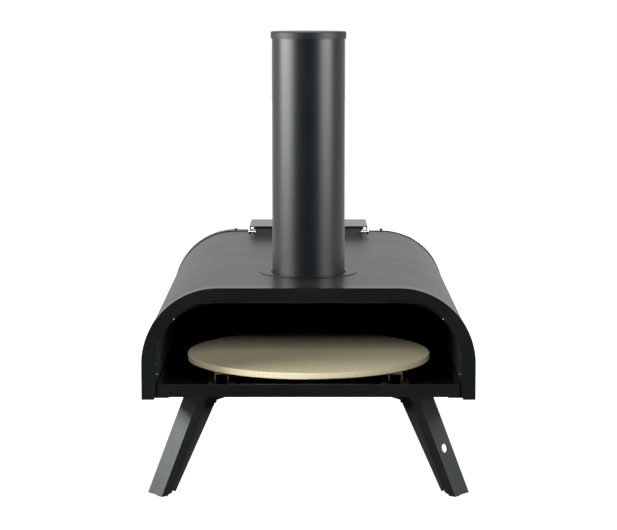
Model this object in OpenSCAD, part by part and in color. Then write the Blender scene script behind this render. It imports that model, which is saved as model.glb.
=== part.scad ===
// Wood fired pizza oven: an arched, insulated steel body on four folding legs,
// with a round stone on rails, a lift-off chimney and cap, a pellet hopper with
// a hinged lid, and a fuel tray that slides out at the rear.
// Millimetres. +Z is up, -Y is the front, the origin is on the ground.

/* [Body] */
// Outside width of the body
body_w = 400; // [380:5:440]
// Outside radius of the two top corners
body_r = 92; // [84:1:100]
// Height of the body from the bottom edge of its sides to its top
body_h = 135; // [130:1:160]
// Depth of the body from the front frame to the rear panel
body_depth = 617; // [600:1:680]
// Height of the bottom edge of the sides above the ground
body_clear = 128; // [116:1:150]
// Thickness of the body's sheet steel
sheet = 1.2; // [1:0.1:1.5]

/* [Front frame] */
// Width of the frame at each side
frame_side = 17; // [15:0.5:20]
// Height of the frame over the mouth
frame_top = 14; // [12:0.5:18]
// Corner radius of the mouth
mouth_r = 76; // [70:1:80]
// How far the frame's outer flange laps over the shell
frame_lap = 20; // [12:1:30]
// Depth of the frame's inner return
frame_return = 24; // [20:1:32]
// Height of the bevel at the lower inner corners
frame_bevel_h = 4; // [2:0.5:6]
// Width of the bevel at the lower inner corners
frame_bevel_w = 2.5; // [1:0.5:4]
// Radius of the frame screws' heads
frame_screw_r = 2.6; // [2:0.1:3]

/* [Floor] */
// Height of the floor pan's underside above the body's bottom edge
pan_lift = 3; // [2.5:0.1:4]
// Height of the sill, the front lip of the floor pan
sill_h = 15.7; // [14:0.1:18]
// Gap between the pan and the frame or liner at each side
pan_gap = 1.5; // [1:0.1:2]
// Width of the ledge of each base rail
rail_ledge = 30; // [24:1:34]
// Height of the upright leg of each base rail
rail_upright = 9; // [6:0.5:14]

/* [Liner] */
// Gap from the body's top to the inside of the liner
liner_drop = 21.5; // [18:0.5:26]
// Corner radius inside the liner
liner_r = 72; // [66:1:74]
// Width of the liner's six screw tabs
tab_w = 12; // [9:1:16]
// Clearance round the insulation
blanket_gap = 0.3; // [0.2:0.1:0.8]

/* [Stone] */
// Radius of the stone
stone_r = 155; // [140:1:160]
// Thickness of the stone
stone_t = 8; // [7:0.5:12]
// Radius of the stone's rounded edges
stone_edge = 1.5; // [0.5:0.1:2.5]
// Distance from the front to the stone's centre
stone_back = 178; // [176:1:200]
// Height of the stone's underside over the sill
stone_over_sill = 1.3; // [0.8:0.1:4]
// Distance from the centre to each stone rail
stone_rail_x = 107; // [90:1:115]
// Width of a stone rail
stone_rail_w = 17; // [14:1:22]
// Length of a stone rail
stone_rail_len = 226; // [200:2:240]

/* [Chimney] */
// Outside radius of the chimney pipe
pipe_r = 45.6; // [40:0.1:50]
// Wall of the chimney pipe
pipe_wall = 1; // [0.8:0.1:1.5]
// Height of the chimney's top above the body
pipe_rise = 301; // [240:1:340]
// Distance from the front to the chimney's axis
pipe_back = 154; // [140:1:180]
// Radius of the collar plate round the chimney
collar_r = 61; // [58:1:68]
// Thickness of the collar plate
collar_t = 0.8; // [0.6:0.1:1.2]
// Gap between the pipe and the collar plate
collar_gap = 1.5; // [1:0.1:2]
// Width of the ledge that the pipe stands on
socket_ledge = 4; // [3:0.5:6]
// Height of the cap's skirt
cap_h = 9; // [7:0.5:14]
// Wall of the cap
cap_wall = 1.2; // [1:0.1:1.5]
// Radius of the cap's rounded top edge
cap_edge = 1.8; // [1.3:0.1:2.5]

/* [Hopper] */
// Width of the hopper
hopper_w = 155; // [130:1:165]
// Depth of the hopper, front to back
hopper_depth = 83.8; // [74:0.1:96]
// Inside gap from the hopper to the rear panel
hopper_rear_gap = 5; // [3:0.5:10]
// Height of the lid's top above the body
lid_rise = 15; // [14:0.5:22]
// Width of the lid
lid_w = 170; // [168:1:180]
// Height of the lid's side flanges
lid_flange = 6; // [5:0.5:8]
// Width of the lift lip on the lid's rear edge
lid_lip = 12; // [8:1:18]
// Radius of the lid's hinge pins
pin_r = 2.5; // [2:0.1:3]
// Distance from the hopper's front wall to the hinge pins
pin_ahead = 4; // [3.5:0.5:6]
// Distance from the lid's top down to the hinge pins
pin_drop = 8; // [7:0.5:9]
// Depth of the hopper's straight part below the body's top
hopper_straight = 27; // [20:1:32]
// Depth of the sloping chute under it
chute_h = 40; // [30:1:44]
// Length of the chute's outlet, front to back
outlet_len = 33; // [26:1:40]

/* [Fire] */
// Gap between the flame guard and the fuel tray
guard_ahead = 11.8; // [8:0.1:20]
// Width of the window in the flame guard
guard_window_w = 150; // [120:5:180]
// Height of the window in the flame guard
guard_window_h = 44; // [30:1:50]
// Height of the guard over its window
guard_over = 13; // [8:0.5:18]
// Width of the fuel tray
tray_w = 150; // [130:2:156]
// Length of the fuel tray
tray_len = 136; // [110:1:138]
// Height of the fuel tray
tray_h = 46; // [40:1:50]
// Clearance between the tray and its guides
tray_gap = 0.4; // [0.3:0.1:0.8]
// How far the tray's front plate covers round its slot
plate_cover = 8; // [6:1:14]
// Radius of the air holes
air_r = 4; // [3:0.5:5]
// Number of air holes in the tray's front plate
air_n = 7; // [4:1:8]
// Height of the grate over the tray's floor
grate_h = 16; // [12:1:20]
// Number of slots in the grate
grate_n = 9; // [6:1:10]
// Width of a slot in the grate
slot_w = 5; // [4:0.5:6]
// Width of the handle between its legs
handle_w = 96; // [80:2:110]
// Reach of the handle behind the tray's plate
handle_reach = 44; // [36:1:55]
// Radius of the handle's rod
handle_r = 4; // [3:0.5:5]
// Radius of the handle's bends
handle_bend = 11; // [9:1:14]

/* [Legs] */
// Outward lean of the legs, degrees
splay = 20.5; // [15:0.5:24]
// Thickness of the legs' sheet steel
leg_t = 2; // [1.5:0.1:2.5]
// Width of a leg's outer web
web_w = 27; // [24:0.5:30]
// Width of a leg's flange
flange_w = 13.5; // [11:0.5:15]
// Angle by which a leg's web is turned outwards
web_turn = 50; // [46:1:54]
// Width of a leg's lip at its top
lip_top = 10.5; // [8:0.5:12]
// Width of a leg's lip at its lower end
lip_low = 3.5; // [3:0.5:6]
// Length by which a leg's lip stops short of the ground
lip_short = 11; // [8:1:16]
// Distance from the body's side in to a front leg's ridge at its top
leg_inset = 65.5; // [62:0.5:80]
// How far the rear legs stand further in than the front ones
rear_inset = 8; // [0:1:12]
// Distance from the front or rear to a leg's ridge
leg_back = 32; // [28:1:50]
// Distance from the leg's ridge to its pivot
pivot_back = 27.5; // [27.4:0.1:30]
// Distance from the floor pan down to the pivots
pivot_drop = 7.8; // [7.6:0.1:9]
// Radius of the ears round the pivots
ear_r = 7; // [6:0.1:7.2]
// Radius of the pivot bolts
bolt_r = 3; // [2.5:0.1:3.2]
// Radial clearance of the pivots and hinge pins
run_gap = 0.05; // [0.03:0.01:0.08]
// Height of the rubber foot below the steel
foot_h = 1.5; // [1:0.1:3]
// Radius of the hole in the front right leg
hang_r = 5.6; // [4:0.1:6.5]
// Distance along the leg from its top to that hole
hang_down = 69; // [50:1:80]

/* [Hidden] */
$fn = 72;

cut = 2;                 // overshoot of cutting shapes
seat = 0.3;              // gap at a loose seat
far = 400;               // size of a half-space cutter

// Front to back
overall = body_depth + seat + sheet + handle_reach + handle_r;
front = -overall / 2;    // the plane of the front frame
rear = front + body_depth;

// Body
body_top = body_clear + body_h;
shell_w = body_w - 2 * sheet;
shell_h = body_h - sheet;
shell_r = body_r - sheet;
mouth_w = body_w - 2 * frame_side;
mouth_h = body_h - frame_top;

// Floor and liner
pan_z = body_clear + pan_lift;
floor_z = pan_z + sheet;
sill_z = pan_z + sill_h;
pan_w = mouth_w - 2 * pan_gap;
pan_front = front + sheet;
liner_h = body_h - liner_drop - pan_lift;
liner_front = front + frame_return;
liner_rear = rear - sheet;
blanket_w = shell_w - 2 * sheet - 2 * blanket_gap;
blanket_inner_w = mouth_w + 2 * sheet + 2 * blanket_gap;
blanket_z = pan_z + rail_upright + blanket_gap;
screw_t = 2.2;           // thickness of screw heads
screw_r = 1.5;           // radius of the screws' threads
screw_len = 2 * sheet + 1;
screw_lift = frame_screw_r * frame_screw_r / mouth_r; // a flat head's rim on a curved corner
screw_y = front + frame_return / 2;
top_screw_x = 91;        // distance from the centre to the frame's top screws
corner_screw = 47.5;     // angle from the top of the mouth's corner to its screw
side_screw_up = 25.5;    // height of the frame's side screws over the pan's underside
rear_screw_up = 20;      // height of the rear panel's lowest screws over the body's edge

// Stone and its rails
stone_z = sill_z + stone_over_sill;
stone_y = front + stone_back;
stone_rail_h = stone_z - floor_z;
stone_rail_front = stone_y - stone_rail_len / 2;
rail_foot = 9;           // width of a stone rail's foot flanges
rail_nose = 8;           // cut back of a rail's lower front corner
vent_r = 3.5;            // radius of the holes through a rail's sides
rivet_end = 14;          // distance from a rail's ends to its rivets
rivet_r = 2;             // radius of the rail rivets' heads
rivet_shank = 1.2;       // radius of the rail rivets' shanks
spare_rivet_x = 51;      // distance from the centre to the spare rivets before the stone

// Chimney
pipe_y = front + pipe_back;
liner_top = body_top - liner_drop + sheet;
socket_r = pipe_r + 0.2;
flue_r = pipe_r - socket_ledge;
pipe_foot = liner_top + sheet;
cap_top = body_top + pipe_rise;
pipe_top = cap_top - cap_wall - seat;
cap_in_r = pipe_r + seat;
cap_r = cap_in_r + cap_wall;

// Hopper
hopper_rear = liner_rear - hopper_rear_gap;
hopper_front = hopper_rear - hopper_depth;
lid_top = body_top + lid_rise;
hopper_top = lid_top - sheet - seat;
chute_top = body_top - hopper_straight;
chute_low = chute_top - chute_h;
pin_y = hopper_front - pin_ahead;
pin_z = lid_top - pin_drop;
lid_front = pin_y - 3;
lid_rear = hopper_rear + 2;
hinge_ear_r = 5;         // radius of the ears round the hinge pins
hinge_ear_t = 2;         // thickness of the hopper's hinge ears
hinge_ear_len = 22;      // length of those ears

// Fire
guard_t = 1.5;           // thickness of the flame guard
guard_h = liner_h - sheet - seat;
hood_len = 22;           // length of the lip that turns the flame upwards
hood_rise = 7;           // rise of that lip over its length
guide_h = 12;            // height and foot width of the tray's side guides
grate_margin = 20;       // solid metal at each side of the grate's slots
tray_z = floor_z + sheet + seat;
tray_rear = rear + seat;
tray_front_y = tray_rear - tray_len;
guard_y = tray_front_y - guard_ahead - guard_t;
window_z = floor_z + guard_h - guard_over - guard_window_h;
slot_half = tray_w / 2 + sheet + 2 * tray_gap;
slot_top = tray_z + tray_h + 2;
handle_z = tray_z + tray_h / 2;
handle_y = tray_rear + sheet;
stud_r = 2;              // radius of the threaded ends of the handle
nut_h = 3;               // height of the handle's nuts
stud_len = 2 * sheet + nut_h + 1;

// Legs
leg_over = 30;           // extra length of a leg below the ground, cut off level
leg_head = 16;           // extra length at its top, cut off under the floor pan
pivot_z = pan_z - pivot_drop;
leg_x = body_w / 2 - leg_inset;
leg_top_z = body_clear - 7;
pivot_y = front + leg_back + pivot_back;
lip_y = flange_w * sin(90 - web_turn);
lip_x = flange_w * cos(90 - web_turn);
leg_len = (leg_top_z + leg_over) / cos(splay);
slope = tan(splay);
plate_in = lip_x / cos(splay) + lip_top / cos(splay);
ear_in = leg_x - plate_in;
ear_out = leg_x + (web_w * cos(web_turn)) / cos(splay) - 2.5;
cheek_gap = 2.5;         // gap between a leg's ear and the bracket's cheek
bracket_in = ear_in + leg_t + cheek_gap;
bracket_out = ear_out - leg_t - cheek_gap - 4;
bracket_t = 1.5;         // thickness of the brackets
bracket_rivet_r = 1.5;   // radius of the bracket rivets' shanks
bracket_back = 28;       // length of a bracket behind its pivot
bolt_head_t = 2.6;       // thickness of a bolt's head
nut_t = 4;               // thickness of a lock nut

// ---------------------------------------------------------------- shared forms

// Upright arch: straight sides, flat top and two round top corners
module arch(w, h, r) {
    translate([-w / 2, 0]) square([w, h - r]);
    translate([r - w / 2, 0]) square([w - 2 * r, h]);
    for (s = [-1, 1]) translate([s * (w / 2 - r), h - r]) intersection() {
        circle(r = r, $fn = 96);
        translate([-r, 0]) square([2 * r, r]);
    }
}

// Band of sheet that follows the outside of an arch
module arch_band(w, h, r, t) {
    difference() {
        arch(w, h, r);
        translate([0, -cut]) arch(w - 2 * t, h - t + cut, r - t);
    }
}

// Carries a drawing from the upright XZ plane along Y, from y0 to y1
module along_y(y0, y1, z = 0) {
    translate([0, y1, z]) rotate([90, 0, 0]) linear_extrude(y1 - y0) children();
}

// Carries a drawing in the YZ plane along X, from x0 to x1
module along_x(x0, x1) {
    translate([x0, 0, 0]) rotate([90, 0, 90]) linear_extrude(x1 - x0) children();
}

// Box from its lowest to its highest corner
module block(a, b) {
    translate(a) cube(b - a);
}

module both_sides() {
    for (s = [0, 1]) mirror([s, 0, 0]) children();
}

// Places a leg part, drawn for the front right corner, at its own corner
module corner(left, at_rear) {
    mirror([left ? 1 : 0, 0, 0])
        translate([at_rear ? -rear_inset : 0, at_rear ? front + rear : 0, 0])
            mirror([0, at_rear ? 1 : 0, 0]) children();
}

module each_corner() {
    for (left = [false, true]) for (at_rear = [false, true])
        corner(left, at_rear) children();
}

// ------------------------------------------------------------------- the body

module outer_shell() {
    color([0.17, 0.18, 0.17]) difference() {
        along_y(front + sheet, rear - sheet, body_clear)
            arch_band(shell_w, shell_h, shell_r, sheet);
        translate([0, pipe_y, body_top - sheet * 4])
            cylinder(r = pipe_r + collar_gap + 1, h = sheet * 6);
        block([-hopper_w / 2 - seat, hopper_front - seat, body_top - sheet * 4],
              [hopper_w / 2 + seat, hopper_rear + seat, body_top + cut]);
        rear_screw_places() cylinder(r = screw_r, h = 8 * sheet, center = true);
    }
}

module front_frame() {
    color([0.13, 0.14, 0.14]) difference() {
        union() {
            along_y(front, front + sheet, body_clear) difference() {
                arch(body_w, body_h, body_r);
                translate([0, -cut]) arch(mouth_w, mouth_h + cut, mouth_r);
            }
            along_y(front, front + frame_lap, body_clear)
                arch_band(body_w, body_h, body_r, sheet);
            along_y(front, front + frame_return, body_clear)
                arch_band(mouth_w + 2 * sheet, mouth_h + sheet, mouth_r + sheet, sheet);
        }
        both_sides() along_y(front - cut, front + frame_return + cut, body_clear)
            polygon([[mouth_w / 2 - cut, -cut], [mouth_w / 2 + frame_bevel_w, -cut],
                     [mouth_w / 2 + frame_bevel_w, 0], [mouth_w / 2, frame_bevel_h],
                     [mouth_w / 2 - cut, frame_bevel_h]]);
        // The base rails pass under the frame's inner return
        both_sides() block([mouth_w / 2 - rail_ledge, front + sheet, body_clear],
                           [body_w / 2 - sheet * 2, front + frame_return + cut, pan_z]);
        frame_screw_places() cylinder(r = screw_r, h = 4 * sheet, center = true);
    }
}

// Three screws on each side hold the frame's inner return to the liner:
// under the top, round the corner and near the foot. Local +Z points inwards
module frame_screw_places() {
    corner_x = mouth_w / 2 - mouth_r;
    corner_z = body_clear + mouth_h - mouth_r;
    both_sides() {
        translate([top_screw_x, screw_y, body_clear + mouth_h]) rotate([0, 180, 0]) children();
        translate([corner_x + mouth_r * sin(corner_screw), screw_y,
                   corner_z + mouth_r * cos(corner_screw)])
            rotate([0, 180 + corner_screw, 0]) children();
        translate([mouth_w / 2, screw_y, pan_z + side_screw_up])
            rotate([0, 270, 0]) children();
    }
}

module frame_screws() {
    color([0.75, 0.75, 0.76]) frame_screw_places() translate([0, 0, screw_lift]) union() {
        cylinder(r1 = frame_screw_r, r2 = frame_screw_r - 0.6, h = screw_t);
        translate([0, 0, -screw_len]) cylinder(r = screw_r, h = screw_len + screw_t / 2);
    }
}

module rear_panel() {
    color([0.13, 0.14, 0.14]) difference() {
        union() {
            along_y(rear - sheet, rear, body_clear) arch(body_w, body_h, body_r);
            along_y(rear - frame_lap, rear, body_clear)
                arch_band(body_w, body_h, body_r, sheet);
        }
        block([-slot_half, rear - sheet * 3, floor_z],
              [slot_half, rear + cut, slot_top]);
        // The lap is notched where the hopper comes up through it
        block([-hopper_w / 2 - seat, rear - frame_lap - cut, body_top - 3 * sheet],
              [hopper_w / 2 + seat, hopper_rear + seat, body_top + cut]);
        // Both side edges and the top hold the panel by screws through its lap
        rear_screw_places() cylinder(r = screw_r, h = 6 * sheet, center = true);
    }
}

// Screws through the rear panel's lap into the shell: one low on each side, one
// where the corner starts and one on top. Local +Z points outwards
module rear_screw_places() {
    y = rear - frame_lap / 2;
    both_sides() {
        for (z = [body_clear + rear_screw_up, body_top - body_r]) translate([body_w / 2, y, z])
            rotate([0, 90, 0]) children();
        translate([body_w / 2 - body_r, y, body_top]) children();
    }
}

module rear_screws() {
    color([0.2, 0.2, 0.2]) rear_screw_places() union() {
        cylinder(r1 = frame_screw_r, r2 = frame_screw_r - 0.6, h = screw_t);
        translate([0, 0, -screw_len]) cylinder(r = screw_r, h = screw_len + screw_t / 2);
    }
}

module inner_liner() {
    color([0.24, 0.24, 0.25]) difference() {
        union() {
            along_y(liner_front, liner_rear, pan_z)
                arch_band(mouth_w + 2 * sheet, liner_h + sheet, liner_r + sheet, sheet);
            // Front flange behind the frame's return, with a tab at each screw
            along_y(liner_front, liner_front + sheet, pan_z) difference() {
                arch(mouth_w + 4 * sheet, mouth_h + 2 * sheet - pan_lift, mouth_r + 2 * sheet);
                translate([0, -cut]) arch(mouth_w, liner_h + cut, liner_r);
            }
            frame_screw_places() translate([-tab_w / 2, -tab_w / 2, -2 * sheet])
                cube([tab_w, liner_front + sheet - screw_y + tab_w / 2, sheet]);
        }
        translate([0, pipe_y, liner_top - 3 * sheet]) cylinder(r = flue_r, h = 5 * sheet);
        block([-hopper_w / 2 - seat, hopper_front - seat, liner_top - 4 * sheet],
              [hopper_w / 2 + seat, hopper_rear + seat, liner_top + cut]);
        frame_screw_places() cylinder(r = screw_r, h = 8 * sheet, center = true);
    }
}

module insulation_blanket() {
    color([0.9, 0.89, 0.84]) difference() {
        along_y(liner_front + 2 * sheet, liner_rear - blanket_gap, blanket_z) difference() {
            arch(blanket_w, body_top - 2 * sheet - blanket_gap - blanket_z,
                 shell_r - sheet - blanket_gap);
            translate([0, -cut])
                arch(blanket_inner_w, liner_top + blanket_gap - blanket_z + cut,
                     liner_r + sheet + blanket_gap);
        }
        translate([0, pipe_y, liner_top - cut])
            cylinder(r = socket_r + sheet + seat, h = 2 * liner_drop);
        block([-hopper_w / 2 - 1, hopper_front - 1, liner_top - cut],
              [hopper_w / 2 + 1, hopper_rear + 1, body_top + cut]);
        rear_screw_places() cylinder(r = 2 * screw_r, h = 6 * screw_len, center = true);
    }
}

// Angle irons welded along the bottom edges of the shell; the pan lies on them
module base_rails() {
    side = shell_w / 2 - sheet;
    color([0.15, 0.15, 0.15]) both_sides() {
        block([side - rail_ledge, front + 2 * sheet, pan_z - sheet],
              [side, rear - sheet, pan_z]);
        block([side - sheet, front + frame_return, pan_z - sheet],
              [side, rear - sheet, pan_z + rail_upright]);
    }
}

module floor_pan() {
    half = pan_w / 2;
    pan_rear = liner_rear - seat;
    color([0.12, 0.125, 0.125]) difference() {
        block([-half, pan_front, pan_z], [half, pan_rear, sill_z]);
        block([-half + sheet, pan_front + sheet, floor_z],
              [half - sheet, pan_rear - sheet, sill_z + cut]);
        block([-slot_half, pan_rear - 3 * sheet, floor_z],
              [slot_half, pan_rear + cut, sill_z + cut]);
        both_sides() {
            translate([spare_rivet_x, stone_rail_front, floor_z])
                cylinder(r = rivet_shank, h = 4 * sheet, center = true);
            translate([stone_rail_x, 0, 0]) rail_rivet_places()
                cylinder(r = rivet_shank, h = 8 * sheet, center = true);
        }
        each_corner() bracket_rivet_places()
            cylinder(r = bracket_rivet_r, h = 8 * sheet, center = true);
    }
}

// -------------------------------------------------------- stone and its rails

// Hat-shaped rail with a foot flange along each side, standing at x = 0
module stone_rail() {
    half = stone_rail_w / 2;
    y0 = stone_rail_front;
    y1 = y0 + stone_rail_len;
    difference() {
        union() {
            block([-half, y0, floor_z], [half, y1, stone_z]);
            block([-half - rail_foot, y0 + rail_nose, floor_z],
                  [half + rail_foot, y1 - rail_nose, floor_z + sheet]);
        }
        // The lower front corner is cut back at 45 degrees
        along_x(-half - cut, half + cut)
            polygon([[y0 - cut, floor_z - cut], [y0 + rail_nose + cut, floor_z - cut],
                     [y0 - cut, floor_z + rail_nose + cut]]);
        block([-half + sheet, y0 - cut, floor_z - cut], [half - sheet, y1 + cut, stone_z - sheet]);
        rail_rivet_places() cylinder(r = rivet_shank, h = 8 * sheet, center = true);
        for (y = [0.3, 0.5, 0.7])
            translate([0, y0 + y * stone_rail_len, (floor_z + stone_z) / 2])
                rotate([0, 90, 0]) cylinder(r = vent_r, h = stone_rail_w + cut, center = true);
    }
}

// Where one stone rail is riveted to the pan, with the rail at x = 0
module rail_rivet_places() {
    out = stone_rail_w / 2 + rail_foot * 0.55;
    for (x = [-out, out]) for (y = [rivet_end, stone_rail_len - rivet_end])
        translate([x, stone_rail_front + y, floor_z + sheet]) children();
}

module stone_rail_left() {
    color([0.6, 0.6, 0.6]) translate([-stone_rail_x, 0, 0]) stone_rail();
}

module stone_rail_right() {
    color([0.6, 0.6, 0.6]) translate([stone_rail_x, 0, 0]) stone_rail();
}

module rail_rivets() {
    color([0.7, 0.7, 0.7]) {
        both_sides() translate([stone_rail_x, 0, 0]) rail_rivet_places() union() {
            cylinder(r1 = rivet_r, r2 = 1, h = 1);
            translate([0, 0, -2 * sheet]) cylinder(r = rivet_shank, h = 2 * sheet + 0.5);
        }
        both_sides() translate([spare_rivet_x, stone_rail_front, floor_z]) union() {
            cylinder(r1 = rivet_r, r2 = 1, h = 1);
            translate([0, 0, -sheet]) cylinder(r = rivet_shank, h = sheet + 0.5);
        }
    }
}

// Round cordierite stone with rounded edges
module pizza_stone() {
    color([0.78, 0.72, 0.55]) translate([0, stone_y, stone_z]) rotate_extrude($fn = 144)
        union() {
            square([stone_r - stone_edge, stone_t]);
            translate([0, stone_edge]) square([stone_r, stone_t - 2 * stone_edge]);
            for (z = [stone_edge, stone_t - stone_edge])
                translate([stone_r - stone_edge, z]) circle(r = stone_edge, $fn = 24);
        }
}

// -------------------------------------------------------------------- chimney

module chimney_collar() {
    shell_top = body_top - sheet;
    color([0.17, 0.18, 0.17]) translate([0, pipe_y, shell_top]) difference() {
        cylinder(r = collar_r, h = collar_t);
        translate([0, 0, -cut]) cylinder(r = pipe_r + collar_gap, h = collar_t + 2 * cut);
    }
}

// Stepped ring on the liner: the pipe stands in it on a ledge
module flue_socket() {
    color([0.5, 0.5, 0.5]) translate([0, pipe_y, liner_top]) difference() {
        cylinder(r = socket_r + sheet, h = body_top - 2 * sheet - liner_top);
        translate([0, 0, sheet]) cylinder(r = socket_r, h = 2 * liner_drop);
        translate([0, 0, -cut]) cylinder(r = flue_r, h = 2 * liner_drop);
    }
}

module chimney_pipe() {
    color([0.16, 0.17, 0.17]) translate([0, pipe_y, pipe_foot]) difference() {
        cylinder(r = pipe_r, h = pipe_top - pipe_foot, $fn = 96);
        translate([0, 0, -cut])
            cylinder(r = pipe_r - pipe_wall, h = pipe_top - pipe_foot + 2 * cut, $fn = 96);
    }
}

// Slip-on cap: a shallow pressed lid with a rounded top edge
module chimney_cap() {
    skirt_z = cap_top - cap_h;
    color([0.17, 0.18, 0.17]) translate([0, pipe_y, skirt_z]) difference() {
        rotate_extrude($fn = 96) union() {
            square([cap_r - cap_edge, cap_h]);
            square([cap_r, cap_h - cap_edge]);
            translate([cap_r - cap_edge, cap_h - cap_edge]) circle(r = cap_edge, $fn = 32);
        }
        translate([0, 0, -cut]) cylinder(r = cap_in_r, h = cap_h - cap_wall + cut, $fn = 96);
    }
}

// --------------------------------------------------------------------- hopper

// Side profile of the hopper: a straight box over a chute that slopes forwards
module hopper_profile(t, over) {
    polygon([[hopper_front + t, hopper_top + over], [hopper_rear - t, hopper_top + over],
             [hopper_rear - t, chute_top + t / 2],
             [hopper_front + outlet_len - t, chute_low - over],
             [hopper_front + t, chute_low - over]]);
}

module hopper_box() {
    color([0.2, 0.2, 0.2]) difference() {
        along_x(-hopper_w / 2, hopper_w / 2) hopper_profile(0, 0);
        along_x(sheet - hopper_w / 2, hopper_w / 2 - sheet) hopper_profile(sheet, cut);
    }
}

// Ears welded to the hopper's sides; they carry the hinge pins
module hopper_hinge_ears() {
    side = hopper_w / 2;
    color([0.6, 0.6, 0.62]) both_sides() difference() {
        along_x(side, side + hinge_ear_t) {
            translate([pin_y, pin_z]) circle(r = hinge_ear_r - 0.5);
            translate([pin_y, pin_z - hinge_ear_r + 0.5])
                square([hinge_ear_len, 2 * hinge_ear_r - 1]);
        }
        translate([side - cut, pin_y, pin_z]) rotate([0, 90, 0])
            cylinder(r = pin_r, h = hinge_ear_t + 2 * cut);
    }
}

module hopper_hinge_pins() {
    side = hopper_w / 2;
    color([0.85, 0.85, 0.86]) both_sides() translate([0, pin_y, pin_z]) rotate([0, 90, 0]) {
        translate([0, 0, side - 1]) cylinder(r = pin_r, h = lid_w / 2 - side + 1 + seat);
        translate([0, 0, lid_w / 2 + seat]) cylinder(r = pin_r + 1.2, h = 1.6);
    }
}

// Folded lid: flat top, side flanges with hinge ears, and a lift lip behind
module hopper_lid() {
    half = lid_w / 2;
    color([0.2, 0.21, 0.2]) difference() {
        union() {
            block([-half, lid_front, lid_top - sheet], [half, lid_rear, lid_top]);
            block([-half * 0.45, lid_rear, lid_top - sheet], [half * 0.45, lid_rear + lid_lip, lid_top]);
            both_sides() along_x(half - sheet, half) {
                translate([lid_front, lid_top - lid_flange])
                    square([lid_rear - lid_front, lid_flange]);
                translate([pin_y, pin_z]) circle(r = hinge_ear_r);
                translate([lid_front, pin_z]) square([hinge_ear_r + 3, pin_drop]);
            }
        }
        both_sides() translate([half - sheet - cut, pin_y, pin_z]) rotate([0, 90, 0])
            cylinder(r = pin_r + run_gap, h = sheet + 2 * cut);
    }
}

// ----------------------------------------------------------------------- fire

// Baffle between the fire and the baking chamber, with a flame window and
// a hood over it that turns the flame up along the roof
module flame_guard() {
    color([0.13, 0.13, 0.13]) {
        difference() {
            along_y(guard_y, guard_y + guard_t, floor_z)
                arch(pan_w - 2 * sheet - 2 * seat, guard_h, liner_r - pan_gap - sheet - seat);
            block([-guard_window_w / 2, guard_y - cut, window_z],
                  [guard_window_w / 2, guard_y + guard_t + cut, window_z + guard_window_h]);
        }
        along_x(-guard_window_w / 2, guard_window_w / 2)
            polygon([[guard_y + guard_t / 2, window_z - 2], [guard_y + guard_t / 2, window_z],
                     [guard_y, window_z], [guard_y - hood_len, window_z + hood_rise + 2],
                     [guard_y - hood_len, window_z + hood_rise]]);
    }
}

// Two angles on the pan that guide the tray's sides
module tray_guides() {
    side = tray_w / 2 + tray_gap;
    guide_rear = liner_rear - 2 * seat;
    color([0.45, 0.45, 0.45]) both_sides() {
        block([side - guide_h, guard_y + guard_t + seat, floor_z], [side, guide_rear, floor_z + sheet]);
        block([side, guard_y + guard_t + seat, floor_z], [side + sheet, guide_rear, floor_z + guide_h]);
    }
}

module fuel_tray() {
    half = tray_w / 2;
    color([0.4, 0.4, 0.4]) difference() {
        block([-half, tray_front_y, tray_z], [half, tray_rear, tray_z + tray_h]);
        block([-half + sheet, tray_front_y + sheet, tray_z + sheet],
              [half - sheet, tray_rear - sheet, tray_z + tray_h + cut]);
        air_holes(tray_rear - 3 * sheet, tray_rear + cut);
        air_holes(tray_front_y - cut, tray_front_y + 3 * sheet);
        handle_holes(tray_rear - 3 * sheet, tray_rear + cut);
    }
}

module handle_holes(y0, y1) {
    for (s = [-1, 1]) translate([s * handle_w / 2, y0, handle_z])
        rotate([-90, 0, 0]) cylinder(r = stud_r, h = y1 - y0);
}

// A row of air holes low in a wall of the tray
module air_holes(y0, y1) {
    pitch = (tray_w - 6 * air_r) / (air_n - 1);
    for (i = [0 : air_n - 1])
        translate([(i - (air_n - 1) / 2) * pitch, y0, tray_z + sheet + grate_h / 2])
            rotate([-90, 0, 0]) cylinder(r = air_r, h = y1 - y0);
}

// Slotted grate on folded side feet
module burner_grate() {
    half = tray_w / 2 - sheet - seat;
    y0 = tray_front_y + sheet + seat;
    y1 = tray_rear - sheet - seat;
    base = tray_z + sheet;
    pitch = (tray_w - 2 * grate_margin) / (grate_n - 1);
    color([0.35, 0.34, 0.33]) difference() {
        block([-half, y0, base], [half, y1, base + grate_h]);
        block([-half + sheet, y0 - cut, base - cut], [half - sheet, y1 + cut, base + grate_h - sheet]);
        for (i = [0 : grate_n - 1]) translate([(i - (grate_n - 1) / 2) * pitch, 0, 0])
            block([-slot_w / 2, y0 + 12, base], [slot_w / 2, y1 - 12, base + grate_h + cut]);
    }
}

module tray_front() {
    half = slot_half + plate_cover;
    y0 = tray_rear;
    color([0.13, 0.14, 0.14]) difference() {
        block([-half, y0, floor_z - plate_cover / 2], [half, y0 + sheet, slot_top + plate_cover]);
        air_holes(y0 - cut, y0 + sheet + cut);
        handle_holes(y0 - cut, y0 + sheet + cut);
    }
}

// Bent rod handle: two legs, two bends and a grip
module tray_handle() {
    half = handle_w / 2;
    bar_y = handle_y + handle_reach;
    color([0.7, 0.7, 0.7]) translate([0, 0, handle_z]) {
        translate([-half + handle_bend, bar_y, 0]) rotate([0, 90, 0])
            cylinder(r = handle_r, h = handle_w - 2 * handle_bend);
        both_sides() {
            translate([half, handle_y, 0]) rotate([-90, 0, 0])
                cylinder(r = handle_r, h = handle_reach - handle_bend);
            translate([half - handle_bend, bar_y - handle_bend, 0])
                rotate_extrude(angle = 90) translate([handle_bend, 0]) circle(r = handle_r, $fn = 32);
            translate([half, handle_y - stud_len, 0]) rotate([-90, 0, 0])
                cylinder(r = stud_r, h = stud_len + handle_r);
        }
    }
}

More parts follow.
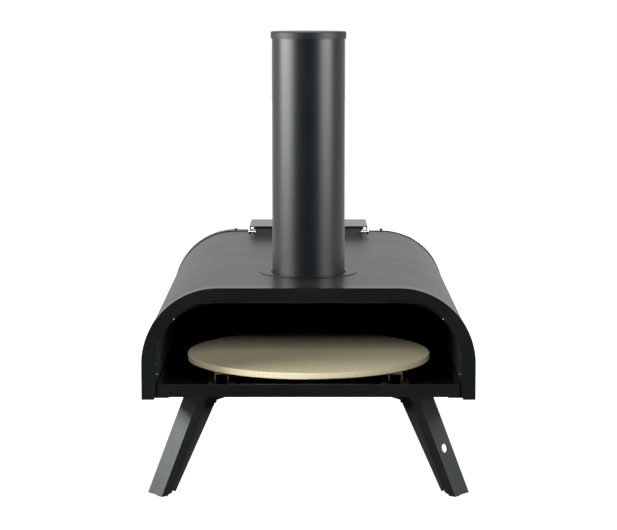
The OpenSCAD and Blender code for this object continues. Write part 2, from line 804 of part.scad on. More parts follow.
module handle_nuts() {
    color([0.8, 0.8, 0.8]) both_sides()
        translate([handle_w / 2, tray_rear - sheet, handle_z]) rotate([90, 0, 0]) difference() {
            cylinder(r = 2 * stud_r, h = nut_h, $fn = 6);
            translate([0, 0, -cut]) cylinder(r = stud_r, h = nut_h + 2 * cut);
        }
}

// ----------------------------------------------------------------------- legs
// Each leg is bent from one sheet. Seen from the front it shows a web turned
// outwards, a flange behind its ridge and a lip that tapers towards the ground.
// At its top a stop plate bears on the floor pan, and two ears hang on the pivot

// Puts a drawing in the leg's own frame: ridge at the origin, axis along Z
module leg_frame() {
    translate([leg_x, front + leg_back, leg_top_z]) rotate([0, -splay, 0])
        mirror([1, 0, 0]) children();
}

module leg_channel() {
    linear_extrude(leg_len + leg_head) {
        rotate(180 - web_turn) translate([0, -leg_t]) square([web_w, leg_t]);
        rotate(90 - web_turn) square([flange_w, leg_t]);
    }
}

// Lip in the upright plane behind the flange, tapered and cut short
module leg_lip() {
    lip_end = leg_len - leg_over / cos(splay) - lip_short;
    translate([0, lip_y + leg_t, 0]) rotate([90, 0, 0]) linear_extrude(leg_t)
        polygon([[lip_x - 1.3, leg_head], [lip_x + lip_top, leg_head], [lip_x + lip_top, 0],
                 [lip_x + lip_low, -lip_end], [lip_x - 1.3, -lip_end]]);
}

module leg() {
    plate_z = pan_z - seat;
    difference() {
        union() {
            leg_frame() {
                translate([0, 0, -leg_len]) leg_channel();
                leg_lip();
            }
            // Stop plate, wider towards the centre at its top
            along_y(front + leg_back + lip_y, front + leg_back + lip_y + leg_t)
                polygon([[ear_in - 11, plate_z], [ear_in - 11, plate_z - 7.6],
                         [ear_in, plate_z - 11.2], [leg_x - 6, plate_z - 13],
                         [leg_x + 7, plate_z - 9], [leg_x + 7, plate_z]]);
            leg_ear(ear_in, lip_y);
            leg_ear(ear_out - leg_t, web_w * sin(web_turn) - leg_t);
        }
        block([-far, -far, -far], [far, far, foot_h]);
        block([-far, -far, pan_z - seat], [far, far, far]);
        flange_corner();
    }
}

// Upright ear round the pivot, bent back from the leg's sheet at that distance behind its ridge
module leg_ear(x, behind) {
    y0 = front + leg_back + behind;
    along_x(x, x + leg_t) difference() {
        union() {
            translate([pivot_y, pivot_z]) circle(r = ear_r);
            translate([y0, pivot_z - ear_r]) square([pivot_y - y0, 2 * ear_r]);
        }
        translate([pivot_y, pivot_z]) circle(r = bolt_r + run_gap);
    }
}

// Rounds the flange's corner beside the ground
module flange_corner() {
    round_r = 5;
    tip = (leg_top_z - foot_h) / cos(splay) - lip_x * slope;
    leg_frame() rotate(90 - web_turn) translate([flange_w - round_r, -cut, -tip])
        rotate([-90, 0, 0]) translate([0, 0, 0]) difference() {
            translate([0, -round_r, 0]) cube([round_r + cut * 2, round_r * 5, leg_t + 2 * cut]);
            translate([0, -round_r, -cut]) cylinder(r = round_r, h = leg_t + 4 * cut);
        }
}

// The hole through the web of the front right leg
module hang_hole() {
    leg_frame() rotate(180 - web_turn)
        translate([web_w / 2, leg_t, -hang_down]) rotate([90, 0, 0])
            cylinder(r = hang_r, h = 4 * leg_t);
}

module foot() {
    plug = 9;
    difference() {
        leg_frame() rotate(90 - web_turn) translate([leg_t, leg_t, -leg_len])
            linear_extrude(leg_len - (leg_top_z - 9) / cos(splay)) square([plug, plug]);
        block([-far, -far, -far], [far, far, 0]);
    }
}

module bracket() {
    y0 = pivot_y - ear_r - 1;
    y1 = pivot_y + bracket_back;
    difference() {
        union() {
            block([bracket_in, y0, pan_z - bracket_t], [bracket_out, y1, pan_z]);
            for (x = [bracket_in, bracket_out - bracket_t]) along_x(x, x + bracket_t) {
                translate([pivot_y, pivot_z]) circle(r = ear_r);
                translate([pivot_y - ear_r, pivot_z]) square([2 * ear_r, pan_z - pivot_z]);
            }
        }
        translate([0, pivot_y, pivot_z]) rotate([0, 90, 0]) cylinder(r = bolt_r, h = far);
        bracket_rivet_places() cylinder(r = bracket_rivet_r, h = 8 * bracket_t, center = true);
    }
}

module bracket_rivet_places() {
    x0 = (bracket_in + bracket_out) / 2;
    for (x = [-5, 5]) translate([x0 + x, pivot_y + bracket_back - 10, pan_z - bracket_t]) children();
}

module bracket_rivets() {
    color([0.3, 0.3, 0.3]) each_corner() bracket_rivet_places() mirror([0, 0, 1]) union() {
        cylinder(r1 = bracket_rivet_r + 1.1, r2 = bracket_rivet_r, h = 1.2);
        translate([0, 0, -bracket_t - sheet]) cylinder(r = bracket_rivet_r, h = bracket_t + sheet + 0.5);
    }
}

// Pivot bolts: button head outside, lock nut inside
module pivot_bolts() {
    color([0.35, 0.35, 0.36]) each_corner() translate([0, pivot_y, pivot_z])
        rotate([0, 90, 0]) {
            translate([0, 0, ear_in - seat - nut_t - 1])
                cylinder(r = bolt_r, h = ear_out + 2 * seat + nut_t + 2 - ear_in);
            translate([0, 0, ear_out + seat])
                cylinder(r1 = bolt_r * 1.7, r2 = bolt_r * 1.2, h = bolt_head_t);
        }
}

module pivot_nuts() {
    color([0.6, 0.6, 0.62]) each_corner() translate([ear_in - seat - nut_t, pivot_y, pivot_z])
        rotate([0, 90, 0]) difference() {
            cylinder(r = bolt_r * 1.8, h = nut_t, $fn = 6);
            translate([0, 0, -cut]) cylinder(r = bolt_r, h = nut_t + 2 * cut);
        }
}

module leg_front_left() { color([0.2, 0.21, 0.21]) corner(true, false) leg(); }
module leg_front_right() {
    color([0.2, 0.21, 0.21]) difference() {
        leg();
        hang_hole();
    }
}
module leg_rear_left() { color([0.2, 0.21, 0.21]) corner(true, true) leg(); }
module leg_rear_right() { color([0.2, 0.21, 0.21]) corner(false, true) leg(); }
module foot_front_left() { color([0.05, 0.05, 0.05]) corner(true, false) foot(); }
module foot_front_right() { color([0.05, 0.05, 0.05]) corner(false, false) foot(); }
module foot_rear_left() { color([0.05, 0.05, 0.05]) corner(true, true) foot(); }
module foot_rear_right() { color([0.05, 0.05, 0.05]) corner(false, true) foot(); }
module bracket_front_left() { color([0.18, 0.19, 0.19]) corner(true, false) bracket(); }
module bracket_front_right() { color([0.18, 0.19, 0.19]) corner(false, false) bracket(); }
module bracket_rear_left() { color([0.18, 0.19, 0.19]) corner(true, true) bracket(); }
module bracket_rear_right() { color([0.18, 0.19, 0.19]) corner(false, true) bracket(); }

outer_shell();
front_frame();
frame_screws();
rear_panel();
rear_screws();
inner_liner();
insulation_blanket();
base_rails();
floor_pan();
stone_rail_left();
stone_rail_right();
rail_rivets();
pizza_stone();
chimney_collar();
flue_socket();
chimney_pipe();
chimney_cap();
hopper_box();
hopper_hinge_ears();
hopper_hinge_pins();
hopper_lid();
flame_guard();
tray_guides();
fuel_tray();
burner_grate();
tray_front();
tray_handle();
handle_nuts();
leg_front_left();
leg_front_right();
leg_rear_left();
leg_rear_right();
foot_front_left();
foot_front_right();
foot_rear_left();
foot_rear_right();
bracket_front_left();
bracket_front_right();
bracket_rear_left();
bracket_rear_right();
pivot_bolts();
pivot_nuts();
bracket_rivets();
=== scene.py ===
import math

import bpy
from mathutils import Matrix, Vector, noise
from mathutils.bvhtree import BVHTree


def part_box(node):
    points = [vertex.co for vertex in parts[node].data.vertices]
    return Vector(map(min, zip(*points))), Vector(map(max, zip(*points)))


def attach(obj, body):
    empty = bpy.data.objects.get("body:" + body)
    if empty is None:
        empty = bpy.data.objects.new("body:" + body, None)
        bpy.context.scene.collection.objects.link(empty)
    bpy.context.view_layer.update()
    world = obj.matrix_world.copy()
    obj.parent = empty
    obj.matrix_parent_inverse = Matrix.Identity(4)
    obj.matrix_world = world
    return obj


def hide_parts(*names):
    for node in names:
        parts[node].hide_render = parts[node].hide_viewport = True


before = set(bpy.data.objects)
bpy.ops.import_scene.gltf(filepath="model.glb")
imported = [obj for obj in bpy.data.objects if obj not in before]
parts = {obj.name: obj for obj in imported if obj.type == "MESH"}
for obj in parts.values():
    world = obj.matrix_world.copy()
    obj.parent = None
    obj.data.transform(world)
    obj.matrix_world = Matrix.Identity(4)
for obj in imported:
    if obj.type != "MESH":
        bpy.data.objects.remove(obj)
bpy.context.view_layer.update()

# ---- Camera ---------------------------------------------------------------------------------
# A long lens stands a little above the chimney's cap, square to the oven's mouth, and looks
# slightly down, so that the roof and the stone both show.
LENS = 117.9             # mm, on a sensor 36 mm wide
STAND_OFF = 2.71075      # from the oven's middle to the lens
LENS_HEIGHT = 0.6078
LOOK_DOWN = 0.1325       # radians
eye = bpy.data.cameras.new("studio_camera")
eye.lens = LENS
camera = bpy.data.objects.new("studio_camera", eye)
camera.location = (0.0, -STAND_OFF, LENS_HEIGHT)
camera.rotation_euler = (math.pi / 2 - LOOK_DOWN, 0.0, 0.0)
bpy.context.scene.collection.objects.link(camera)
bpy.context.scene.camera = camera
bpy.context.scene.view_settings.view_transform = "Standard"

# ---- Studio ---------------------------------------------------------------------------------
# The oven stands on white paper, in a room that is white behind it and dims towards the front.
# Each soft box is flagged, so that it lights only the pieces that are named with it.
def linear(hex_colour):
    """An sRGB hex colour as linear red, green, blue and alpha."""
    channels = [int(hex_colour[i:i + 2], 16) / 255 for i in (1, 3, 5)]
    return [c / 12.92 if c <= 0.04045 else ((c + 0.055) / 1.055) ** 2.4 for c in channels] + [1.0]


def feed(target, inputs):
    """Gives each named or numbered input of a node a value, or a link from another node's output."""
    for name, value in inputs.items():
        if isinstance(value, bpy.types.NodeSocket):
            target.id_data.links.new(value, target.inputs[name])
        else:
            target.inputs[name].default_value = value


def node(tree, kind, inputs, **settings):
    """Adds a node with its settings and links. A mix takes its share at input 0, and what it mixes at
    inputs 2 and 3 for numbers, or at 6 and 7 for colours, which come out at output 2."""
    added = tree.nodes.new(kind)
    for name, value in settings.items():
        setattr(added, name, value)
    feed(added, inputs)
    return added


def finish_of(name, constants):
    """A new material with those constants on its shader. Returns the material, its node tree, its
    shader, and the output that gives places on the piece in metres."""
    made = bpy.data.materials.new(name)
    made.use_nodes = True
    tree = made.node_tree
    shader = tree.nodes["Principled BSDF"]
    feed(shader, constants)
    return made, tree, shader, node(tree, "ShaderNodeTexCoord", {}).outputs["Object"]


FRONT_LIGHT, BACK_LIGHT = 0.04, 0.76      # how strongly the room lights the oven from each end
room = bpy.data.worlds.new("white_room")
room.use_nodes = True
bpy.context.scene.world = room
sky = room.node_tree
direction = node(sky, "ShaderNodeTexCoord", {}).outputs["Generated"]
facing = node(sky, "ShaderNodeSeparateXYZ", {"Vector": direction})
depth = node(sky, "ShaderNodeMapRange", {"Value": facing.outputs["Y"], "From Min": -0.2, "From Max": 0.6,
                                         "To Min": FRONT_LIGHT, "To Max": BACK_LIGHT})
seen = node(sky, "ShaderNodeLightPath", {})
bright = node(sky, "ShaderNodeMix", {0: seen.outputs["Is Camera Ray"], 2: depth.outputs["Result"], 3: 1.0})
feed(sky.nodes["Background"], {"Color": (1.0, 1.0, 1.0, 1.0), "Strength": bright.outputs[0]})


def level_sheet(name, half_width, front, back, height, surface):
    """A flat, level sheet of the studio, which reaches as far to the left as to the right."""
    laid = bpy.data.meshes.new(name)
    laid.from_pydata([(-half_width, front, height), (half_width, front, height),
                      (half_width, back, height), (-half_width, back, height)], [], [(0, 1, 2, 3)])
    laid.materials.append(surface)
    sheet = bpy.data.objects.new(name, laid)
    bpy.context.scene.collection.objects.link(sheet)
    return sheet


# The paper looks white to the camera. On the oven it shines only from a line ahead of the mouth
# backwards, and least from close by, so that the oven's front and legs stay dark.
PAPER_WHITE = 0.97       # the glow that makes the paper as white as the room
GLOW = 0.85              # the glow that the oven would see, if nearness took none of it
GLOW_STARTS, GLOW_FULL = -0.85, -0.4
NEAR, FAR = 0.2, 0.8     # distances from the oven's middle
NEAR_SHARE, FAR_SHARE = 0.08, 0.6      # how much of the glow is left there
paper, tree, shader, place = finish_of("white_background_paper", {
    "Base Color": linear("#f6f6f6"), "Roughness": 0.9, "Emission Color": linear("#ffffff")})
along = node(tree, "ShaderNodeSeparateXYZ", {"Vector": place})
glow = node(tree, "ShaderNodeMapRange", {"Value": along.outputs["Y"], "From Min": GLOW_STARTS,
                                         "From Max": GLOW_FULL, "To Min": 0.0, "To Max": GLOW},
            interpolation_type="SMOOTHSTEP")
away = node(tree, "ShaderNodeVectorMath", {0: place}, operation="LENGTH")
ring = node(tree, "ShaderNodeMapRange", {"Value": away.outputs["Value"], "From Min": NEAR, "From Max": FAR,
                                         "To Min": NEAR_SHARE, "To Max": FAR_SHARE})
cast = node(tree, "ShaderNodeMath", {0: glow.outputs["Result"], 1: ring.outputs["Result"]},
            operation="MULTIPLY")
seen = node(tree, "ShaderNodeLightPath", {})
shown = node(tree, "ShaderNodeMix", {0: seen.outputs["Is Camera Ray"], 2: cast.outputs[0], 3: PAPER_WHITE})
feed(shader, {"Emission Strength": shown.outputs[0]})
floor = level_sheet("floor", half_width=9, front=-9, back=9, height=0, surface=paper)

# A black cloth lies in front of the oven. Only reflections see it, and it keeps them dark.
velvet = finish_of("black_velvet", {"Base Color": linear("#050505"), "Roughness": 1.0})[0]
card = level_sheet("black_flag", half_width=8, front=-8, back=-0.5, height=0.01, surface=velvet)
card.visible_camera = card.visible_diffuse = card.visible_transmission = card.visible_shadow = False


def soft_box(name, at, aim, size, watts, lit):
    """A studio soft box at one point, aimed at another. Flags keep its light on the pieces in lit."""
    flagged = bpy.data.collections.new(name)
    for piece in lit:
        flagged.objects.link(parts[piece])
    lamp = bpy.data.lights.new(name, "AREA")
    lamp.shape = "RECTANGLE"
    lamp.size, lamp.size_y = size
    lamp.energy = watts
    box = bpy.data.objects.new(name, lamp)
    box.location = at
    box.rotation_euler = (Vector(aim) - Vector(at)).to_track_quat("-Z", "Y").to_euler()
    box.visible_camera = False
    box.light_linking.receiver_collection = flagged
    bpy.context.scene.collection.objects.link(box)


flue = ["chimney_pipe", "chimney_cap"]
legs = [name for name in parts if name.startswith(("leg_", "foot_"))]
skin = ["outer_shell", "rear_panel", "rear_screws", "chimney_collar", "flue_socket", "hopper_lid"]
back = ["rear_panel", "rear_screws", "tray_front", "tray_handle", "handle_nuts", "tray_guides", "fuel_tray"]
front = [name for name in parts if name not in flue + legs + skin + ["pizza_stone"]]
# The broad skin and the pale stone take weaker light than the small dark pieces round them.
soft_box("left_soft_box", at=(-2.4, -0.9, 1.4), aim=(0, -0.15, 0.4), size=(2.4, 2.0), watts=310, lit=front)
soft_box("right_soft_box", at=(2.1, -1.4, 1.3), aim=(0, -0.15, 0.4), size=(1.9, 1.9), watts=170, lit=front)
soft_box("left_skin_box", at=(-2.4, -0.9, 1.6), aim=(0, -0.05, 0.3), size=(3.0, 2.4), watts=100, lit=skin)
soft_box("right_skin_box", at=(2.4, -1.0, 1.6), aim=(0, -0.05, 0.3), size=(3.0, 2.4), watts=60, lit=skin)
soft_box("rear_soft_box", at=(0.9, 2.4, 1.3), aim=(0, 0.28, 0.2), size=(1.8, 1.4), watts=70, lit=back)
soft_box("top_soft_box", at=(0, 0.3, 2.6), aim=(0, 0, 0.2), size=(2.4, 2.0), watts=60,
         lit=[name for name in parts if name not in ("pizza_stone", "front_frame")])
soft_box("left_leg_box", at=(-2.0, -0.95, 1.5), aim=(-0.15, -0.25, 0.06), size=(1.4, 1.0), watts=640,
         lit=[name for name in legs if name.endswith("_left")])
soft_box("right_leg_box", at=(1.6, -1.3, 1.6), aim=(0.15, -0.25, 0.06), size=(1.2, 1.0), watts=210,
         lit=[name for name in legs if name.endswith("_right")])
soft_box("left_flue_box", at=(-2.25, -0.85, 0.8), aim=(0, -0.18, 0.42), size=(1.9, 1.0), watts=108, lit=flue)
soft_box("right_flue_box", at=(1.9, -1.4, 0.8), aim=(0, -0.18, 0.42), size=(1.5, 1.0), watts=60, lit=flue)
soft_box("stone_spot", at=(0, -3.4, 1.5), aim=(0, -0.2, 0.15), size=(0.9, 0.6), watts=75,
         lit=["pizza_stone"])
soft_box("stone_fill", at=(-2.2, -1.3, 1.1), aim=(0, -0.2, 0.15), size=(1.6, 1.0), watts=85,
         lit=["pizza_stone"])
soft_box("rail_spot", at=(0, -3.4, 1.5), aim=(0, -0.2, 0.15), size=(1.3, 0.6), watts=40,
         lit=["stone_rail_left", "stone_rail_right", "rail_rivets", "hopper_hinge_ears",
              "hopper_hinge_pins", "hopper_box"])
soft_box("front_spot", at=(0, -2.2, 1.3), aim=(0, -0.25, 0.06), size=(0.8, 0.5), watts=66,
         lit=legs + ["hopper_box", "hopper_lid"])

# ---- Folded body: shell, front frame, rear panel and base rails -----------------------------
# The body is cut and folded from 1.2 mm steel sheet and powder coated satin black. The cured
# powder leaves a faint orange peel and a soft sheen, and it rounds the sheet's cut edges.
COAT_BLACK, COAT_GREY = "#090d0c", "#101513"
# The front frame and the floor pan take a darker copy of the same coat, which paints the shade of the oven's
# dark front and chamber onto them.
FRAME_SHADE_BLACK, FRAME_SHADE_GREY = "#070a09", "#0d110f"
GLOSS_TINT = (0.97, 1.0, 0.985, 1.0)      # the coat's gloss is very faintly green
PEEL = 0.0016            # real peel is about 0.8 mm across, and is drawn twice as coarse so that it shows
PEEL_DEPTH = 0.0001
CLOUD = 0.060            # slow drift in the film's thickness
DRIFT = 0.012            # how far the drift takes the roughness, up and down
EDGE = 0.0004            # what the coating rounds off a cut edge
FOLD = 0.00055           # the softer edges of a press-folded sheet
SHARP = math.radians(40)


def powder_coat(name, dark, light, roughness):
    """Cured satin powder: a near-black film with fine peel, and a roughness that drifts slowly."""
    made, tree, shader, place = finish_of(name, {"Specular Tint": GLOSS_TINT})
    film = node(tree, "ShaderNodeTexNoise", {"Vector": place, "Scale": 1 / CLOUD, "Detail": 2.0})
    tone = node(tree, "ShaderNodeMix", {0: film.outputs["Fac"], 6: linear(dark), 7: linear(light)},
                data_type="RGBA")
    peel = node(tree, "ShaderNodeTexNoise", {"Vector": place, "Scale": 1 / PEEL, "Detail": 1.0})
    sheen = node(tree, "ShaderNodeMapRange", {"Value": film.outputs["Fac"], "From Min": 0.3, "From Max": 0.7,
                                              "To Min": roughness - DRIFT, "To Max": roughness + DRIFT})
    relief = node(tree, "ShaderNodeBump", {"Height": peel.outputs["Fac"], "Strength": 0.25,
                                           "Distance": PEEL_DEPTH})
    feed(shader, {"Base Color": tone.outputs[2], "Roughness": sheen.outputs["Result"],
                  "Normal": relief.outputs["Normal"]})
    return made


def dress(names, material, edge=0.0):
    """Gives the carried solids a material and, where edge isn't 0, rounds their sharp edges by that much."""
    for name in names:
        solid = parts[name]
        for held in solid.material_slots:
            held.material = material
        if edge:
            rounded = solid.modifiers.new("rounded_edges", "BEVEL")
            rounded.width, rounded.segments = edge, 2
            rounded.limit_method, rounded.angle_limit = "ANGLE", SHARP


satin_black = powder_coat("satin_black_powder_coat", COAT_BLACK, COAT_GREY, roughness=0.37)
frame_coat_painted_shade = powder_coat("satin_black_frame_coat_painted_shade", FRAME_SHADE_BLACK, FRAME_SHADE_GREY, roughness=0.30)
dress(["outer_shell", "rear_panel", "base_rails"], satin_black, EDGE)
dress(["front_frame"], frame_coat_painted_shade, FOLD)

# ---- Body screws ----------------------------------------------------------------------------
# Small pan-head screws hold the frame and the rear panel to the shell. The front ones are zinc
# plated and dulled by heat, so they glint weakly, and the rear ones are blackened like the coat.
ZINC_PATCH = 0.004       # how far apart the plate's smoother and rougher patches lie


def plated(name, colour, patch, smooth, rough):
    """Plated metal of one colour, whose roughness drifts between two values from patch to patch."""
    made, tree, shader, place = finish_of(name, {"Base Color": linear(colour), "Metallic": 1.0})
    film = node(tree, "ShaderNodeTexNoise", {"Vector": place, "Scale": 1 / patch, "Detail": 2.0})
    spread = node(tree, "ShaderNodeMapRange", {"Value": film.outputs["Fac"], "To Min": smooth,
                                               "To Max": rough})
    feed(shader, {"Roughness": spread.outputs["Result"]})
    return made


dull_zinc = plated("dulled_zinc_plate", "#4c5150", ZINC_PATCH, smooth=0.34, rough=0.50)
dress(["frame_screws"], dull_zinc)
dress(["rear_screws"], satin_black)

# ---- Liner, floor pan and flame guard -------------------------------------------------------
# The baking chamber is folded sheet in a matt black heat-resisting paint, dusty and slightly
# uneven, so that it reads as a dark cave. The front lip of its roof is painted olive, as painted warm light
# reflected from the stone.
DUST = 0.012             # how wide the dusty patches are
GRIT = 0.0012            # real grit is about 0.4 mm, drawn coarser so that it shows
LIP_DEEP, LIP_TALL = 0.02225, 0.0109      # how much of the liner, from its front and top, takes the painted olive light
liner_low, liner_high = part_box("inner_liner")
heat_paint, tree, shader, place = finish_of("matt_black_heat_paint", {"IOR": 1.45, "Specular IOR Level": 0.2})
dust = node(tree, "ShaderNodeTexNoise", {"Vector": place, "Scale": 1 / DUST, "Detail": 4.0})
tone = node(tree, "ShaderNodeMix", {0: dust.outputs["Fac"], 6: linear("#0d0e0e"), 7: linear("#191a19")},
            data_type="RGBA")
where = node(tree, "ShaderNodeSeparateXYZ", {"Vector": place})
ahead = node(tree, "ShaderNodeMath", {0: where.outputs["Y"], 1: liner_low.y + LIP_DEEP},
             operation="LESS_THAN")
above = node(tree, "ShaderNodeMath", {0: where.outputs["Z"], 1: liner_high.z - LIP_TALL},
             operation="GREATER_THAN")
lip = node(tree, "ShaderNodeMath", {0: ahead.outputs[0], 1: above.outputs[0]}, operation="MULTIPLY")
# Painted light: the lip is coloured olive to stand in for the stone's warm reflection on it.
lip_painted_light = node(tree, "ShaderNodeMix", {0: lip.outputs[0], 6: tone.outputs[2], 7: linear("#3a3a2c")},
              data_type="RGBA")
flat = node(tree, "ShaderNodeMapRange", {"Value": dust.outputs["Fac"], "To Min": 0.55, "To Max": 0.75})
grit = node(tree, "ShaderNodeTexNoise", {"Vector": place, "Scale": 1 / GRIT, "Detail": 1.0})
relief = node(tree, "ShaderNodeBump", {"Height": grit.outputs["Fac"], "Strength": 0.4, "Distance": 0.0001})
feed(shader, {"Base Color": lip_painted_light.outputs[2], "Roughness": flat.outputs["Result"],
              "Normal": relief.outputs["Normal"]})
dress(["inner_liner", "flame_guard"], heat_paint)
# The floor pan wears the darker copy of the coat too, as painted shade for the dark chamber.
dress(["floor_pan"], frame_coat_painted_shade, EDGE)

# ---- Insulation -----------------------------------------------------------------------------
# A needled ceramic fibre blanket is wrapped over the liner before the shell goes on. It is white,
# soft and lumpy, so it scatters light without a gloss, and it fills its space loosely.
VOXEL = 0.004            # the spacing of the blanket's mesh
SINK = 0.0004            # the least that the blanket stays inside its space
LUMP = 0.0012            # how much deeper its hollows go
TUFT, NAP = 0.045, 0.011      # how wide its large and small lumps are
FIBRE = 0.003            # real fibre is far finer, and is drawn as clumps of it
wool, tree, shader, place = finish_of("ceramic_fibre_blanket", {"Roughness": 0.95, "Sheen Weight": 0.3})
fibre = node(tree, "ShaderNodeTexNoise", {"Vector": place, "Scale": 1 / FIBRE, "Detail": 5.0,
                                          "Distortion": 1.5})
tone = node(tree, "ShaderNodeMix", {0: fibre.outputs["Fac"], 6: linear("#cfccc3"), 7: linear("#f1efe9")},
            data_type="RGBA")
relief = node(tree, "ShaderNodeBump", {"Height": fibre.outputs["Fac"], "Strength": 0.6, "Distance": 0.0008})
feed(shader, {"Base Color": tone.outputs[2], "Normal": relief.outputs["Normal"]})
batt = bpy.data.objects.new("fibre_blanket", parts["insulation_blanket"].data.copy())
bpy.context.scene.collection.objects.link(batt)
space = BVHTree.FromPolygons([v.co for v in batt.data.vertices], [f.vertices for f in batt.data.polygons])
even = batt.modifiers.new("even_mesh", "REMESH")
even.mode, even.voxel_size = "VOXEL", VOXEL
soft = bpy.data.meshes.new_from_object(batt.evaluated_get(bpy.context.evaluated_depsgraph_get()))
batt.modifiers.clear()
batt.data = soft
outwards = [v.normal.copy() for v in soft.vertices]
for v, outward in zip(soft.vertices, outwards):
    lump = 0.5 + 0.35 * noise.noise(v.co / TUFT) + 0.15 * noise.noise(v.co / NAP)
    v.co -= outward * (SINK + LUMP * min(max(lump, 0.0), 1.0))
    wall, off_wall, _, _ = space.find_nearest(v.co)      # then nothing comes nearer a wall than SINK
    if (v.co - wall).dot(off_wall) > -SINK:
        v.co = wall - off_wall * SINK
for face in soft.polygons:
    face.use_smooth = True
soft.materials.clear()
soft.materials.append(wool)
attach(batt, "oven")
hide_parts("insulation_blanket")
for lamp in ("left_skin_box", "right_skin_box", "top_soft_box"):
    bpy.data.collections[lamp].objects.link(batt)

# ---- Stone rails ----------------------------------------------------------------------------
# Two folded stainless rails are riveted to the floor and carry the stone. Rolling leaves fine
# lines along the sheet, which blur its reflections one way. The rivets are bright zinc plate.
ROLL_LINE = 0.0012       # real lines are finer, and are drawn this coarse so that they show
LINE_RUN = 0.04          # how fast a line changes along its run, as a share of across it
rolled, tree, shader, place = finish_of("rolled_stainless_sheet", {"Metallic": 1.0, "Anisotropic": 0.4})
stretched = node(tree, "ShaderNodeMapping", {"Vector": place, "Scale": (1.0, LINE_RUN, 1.0)})
lines = node(tree, "ShaderNodeTexNoise", {"Vector": stretched.outputs["Vector"], "Scale": 1 / ROLL_LINE,
                                          "Detail": 3.0})
tone = node(tree, "ShaderNodeMix", {0: lines.outputs["Fac"], 6: linear("#8f8d88"), 7: linear("#b4b2ac")},
            data_type="RGBA")
blur = node(tree, "ShaderNodeMapRange", {"Value": lines.outputs["Fac"], "To Min": 0.28, "To Max": 0.48})
feed(shader, {"Base Color": tone.outputs[2], "Roughness": blur.outputs["Result"]})
bright_zinc = plated("bright_zinc_plate", "#c9cbcc", ZINC_PATCH, smooth=0.22, rough=0.42)
dress(["stone_rail_left", "stone_rail_right"], rolled, EDGE)
dress(["rail_rivets"], bright_zinc)

# ---- Pizza stone ----------------------------------------------------------------------------
# The stone is pressed and fired cordierite, sandy beige, dry and matt. Its grit shows as a fine
# grain with darker specks.
GRAIN = 0.0018           # real grain is about 0.6 mm, drawn coarser so that it shows
SPECK_APART = 0.006      # the spacing of the darker specks
cordierite, tree, shader, place = finish_of("fired_cordierite", {"Roughness": 0.88})
grain = node(tree, "ShaderNodeTexNoise", {"Vector": place, "Scale": 1 / GRAIN, "Detail": 3.0})
body = node(tree, "ShaderNodeMix", {0: grain.outputs["Fac"], 6: linear("#c8bc90"), 7: linear("#efe7c6")},
            data_type="RGBA")
cells = node(tree, "ShaderNodeTexVoronoi", {"Vector": place, "Scale": 1 / SPECK_APART})
speck = node(tree, "ShaderNodeMapRange", {"Value": cells.outputs["Distance"], "From Min": 0.06,
                                          "From Max": 0.16, "To Min": 0.55, "To Max": 0.0})
tone = node(tree, "ShaderNodeMix", {0: speck.outputs["Result"], 6: body.outputs[2], 7: linear("#a08f63")},
            data_type="RGBA")
relief = node(tree, "ShaderNodeBump", {"Height": grain.outputs["Fac"], "Strength": 0.35, "Distance": 0.0003})
feed(shader, {"Base Color": tone.outputs[2], "Normal": relief.outputs["Normal"]})
dress(["pizza_stone"], cordierite)

# ---- Chimney --------------------------------------------------------------------------------
# The flue is a rolled and welded steel tube that drops over a spun stainless socket, and a
# pressed cap closes it. Tube and cap are powder coated a shade lighter, and the cap is duller.
FLUE_BLACK, FLUE_GREY = "#0c1113", "#13191c"
RIM = 0.0002             # how far the collar's thin stamped rim is rounded
flue_black = powder_coat("satin_black_flue_coat", FLUE_BLACK, FLUE_GREY, roughness=0.36)
cap_black = powder_coat("satin_black_cap_coat", FLUE_BLACK, FLUE_GREY, roughness=0.50)
dress(["chimney_pipe"], flue_black)
dress(["chimney_cap"], cap_black)
dress(["chimney_collar"], satin_black, RIM)
dress(["flue_socket"], rolled)

# ---- Pellet hopper --------------------------------------------------------------------------
# The hopper is a folded and welded box with a hinged sheet lid in a glossier coat. Two stainless
# ears on its front corners hold bright headed pins, and the lid's flanges turn on them.
NICKEL_PATCH = 0.003     # how far apart the patches of the smoother nickel plate lie
lid_black = powder_coat("satin_black_lid_coat", COAT_BLACK, COAT_GREY, roughness=0.22)
nickel = plated("bright_nickel_plate", "#d8d8d9", NICKEL_PATCH, smooth=0.12, rough=0.26)
dress(["hopper_box"], satin_black, EDGE)
dress(["hopper_lid"], lid_black, EDGE)
dress(["hopper_hinge_ears"], rolled)
dress(["hopper_hinge_pins"], nickel)

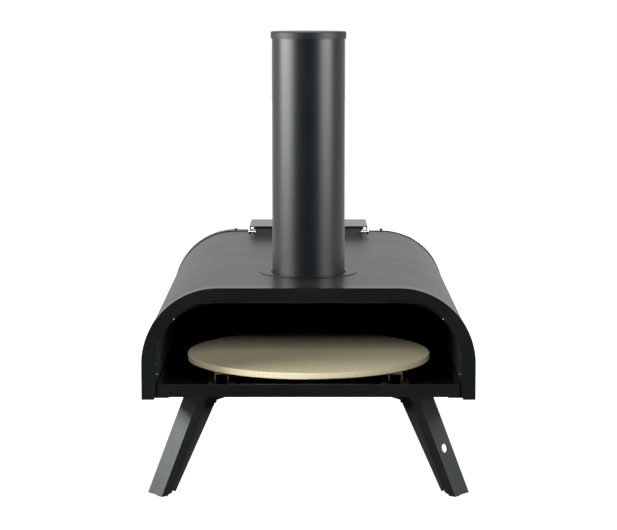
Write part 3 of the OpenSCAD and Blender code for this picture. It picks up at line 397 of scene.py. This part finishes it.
# ---- Fuel tray ------------------------------------------------------------------------------
# The burner is a folded stainless tray on two guides, with a slotted grate that the fire has
# scaled brown and rough, a coated front plate, and a nickel plated rod handle held by two nuts.
FLAKE = 0.008            # the width of a patch of scale
scaled_steel, tree, shader, place = finish_of("heat_scaled_steel", {"Metallic": 0.6})
flake = node(tree, "ShaderNodeTexNoise", {"Vector": place, "Scale": 1 / FLAKE, "Detail": 6.0,
                                          "Roughness": 0.7})
tone = node(tree, "ShaderNodeMix", {0: flake.outputs["Fac"], 6: linear("#2b2725"), 7: linear("#5a5048")},
            data_type="RGBA")
dull = node(tree, "ShaderNodeMapRange", {"Value": flake.outputs["Fac"], "To Min": 0.5, "To Max": 0.8})
relief = node(tree, "ShaderNodeBump", {"Height": flake.outputs["Fac"], "Strength": 0.5, "Distance": 0.0002})
feed(shader, {"Base Color": tone.outputs[2], "Roughness": dull.outputs["Result"],
              "Normal": relief.outputs["Normal"]})
dress(["tray_guides", "fuel_tray"], rolled)
dress(["burner_grate"], scaled_steel)
dress(["tray_front"], satin_black, EDGE)
dress(["tray_handle", "handle_nuts"], nickel)

# ---- Legs -----------------------------------------------------------------------------------
# Each leg is one folded sheet with a web, a flange and a tapered lip, coated like the body. It
# turns on a bolt in a small riveted bracket and stands on a moulded, dusty black rubber foot.
LEG_BLACK, LEG_GREY = "#0b0f0e", "#121614"
BLOOM = 0.005            # the dusty bloom on moulded rubber
corners = [f"{end}_{side}" for end in ("front", "rear") for side in ("left", "right")]
leg_black = powder_coat("satin_black_leg_coat", LEG_BLACK, LEG_GREY, roughness=0.37)
dress([f"leg_{c}" for c in corners], leg_black, FOLD)
dress([f"bracket_{c}" for c in corners] + ["bracket_rivets"], satin_black)
dress(["pivot_bolts", "pivot_nuts"], bright_zinc)
rubber, tree, shader, place = finish_of("moulded_black_rubber", {"Roughness": 0.8})
bloom = node(tree, "ShaderNodeTexNoise", {"Vector": place, "Scale": 1 / BLOOM, "Detail": 3.0})
tone = node(tree, "ShaderNodeMix", {0: bloom.outputs["Fac"], 6: linear("#0e0e0e"), 7: linear("#1d1d1c")},
            data_type="RGBA")
relief = node(tree, "ShaderNodeBump", {"Height": bloom.outputs["Fac"], "Strength": 0.2, "Distance": 0.0002})
feed(shader, {"Base Color": tone.outputs[2], "Normal": relief.outputs["Normal"]})
dress([f"foot_{c}" for c in corners], rubber)
